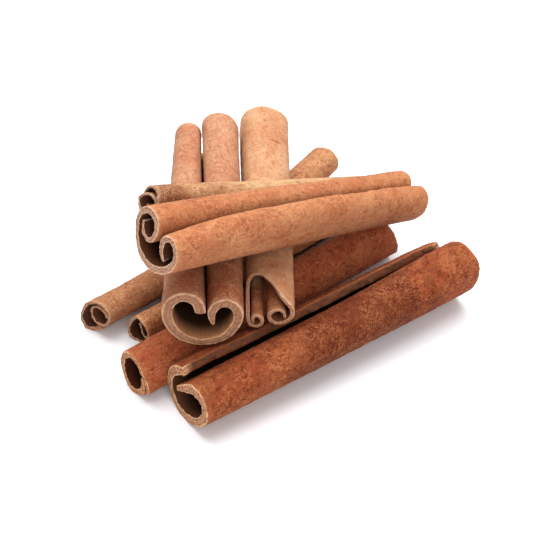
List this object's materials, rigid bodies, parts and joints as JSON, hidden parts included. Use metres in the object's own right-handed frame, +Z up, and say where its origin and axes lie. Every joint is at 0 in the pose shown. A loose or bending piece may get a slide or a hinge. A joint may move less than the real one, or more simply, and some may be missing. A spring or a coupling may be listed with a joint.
{
  "type": "stack of cinnamon sticks",
  "caption": "Loose stack of cinnamon sticks, each a sheet of dry bark rolled into a quill, lying across one another as served or shown for cooking",
  "frame": {"origin": "bottom centre of the stack's bounding box, on the table", "axes": "+X to the right as the stack is looked at, +Y away from the viewer, along the two sticks that cross the lower ones, +Z up"},
  "size_m": [0.0987, 0.1088, 0.0463],
  "materials": {
    "front_bark": "matte",
    "middle_bark": "matte",
    "slim_bark": "matte",
    "rear_bark": "matte",
    "left_cross_bark": "matte",
    "right_cross_bark": "matte",
    "top_bark": "matte",
    "back_bark": "matte"
  },
  "bodies": {
    "root": {"front_quill": "front_bark", "middle_quill": "middle_bark", "slim_quill": "slim_bark", "rear_quill": "rear_bark", "left_cross_quill": "left_cross_bark", "right_cross_quill": "right_cross_bark", "top_quill": "top_bark", "back_quill": "back_bark"}
  },
  "joints": []
}
